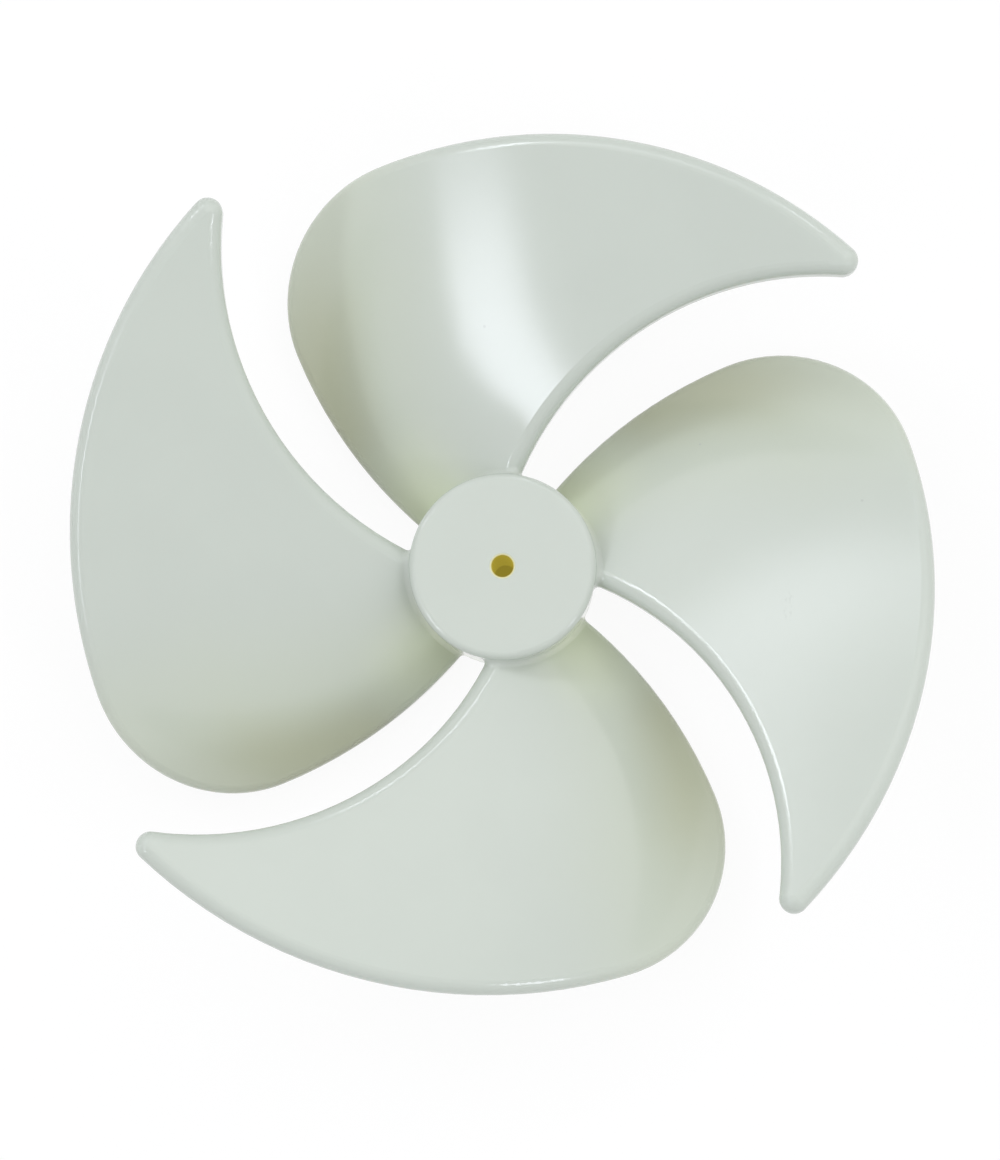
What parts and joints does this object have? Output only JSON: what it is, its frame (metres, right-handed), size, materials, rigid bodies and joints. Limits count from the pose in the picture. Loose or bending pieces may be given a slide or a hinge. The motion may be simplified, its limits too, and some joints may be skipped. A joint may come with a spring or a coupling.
{
  "type": "refrigerator fan blade",
  "caption": "Pale plastic axial fan with swept, sickle-shaped blades on a round cup hub; pushed onto a motor shaft to move cold air inside a refrigerator.",
  "frame": {"origin": "on the shaft axis, in the plane of the hub's open rear rim, which is the lowest plane of the part", "axes": "+Z along the shaft axis towards the closed front of the hub; one of the blades stands around +Y, with its pointed tip towards +X"},
  "size_m": [0.124, 0.124, 0.0343],
  "materials": {
    "plastic": "gloss, off-white with a faint green cast"
  },
  "bodies": {
    "root": {"fan_blade": "plastic"}
  },
  "joints": []
}
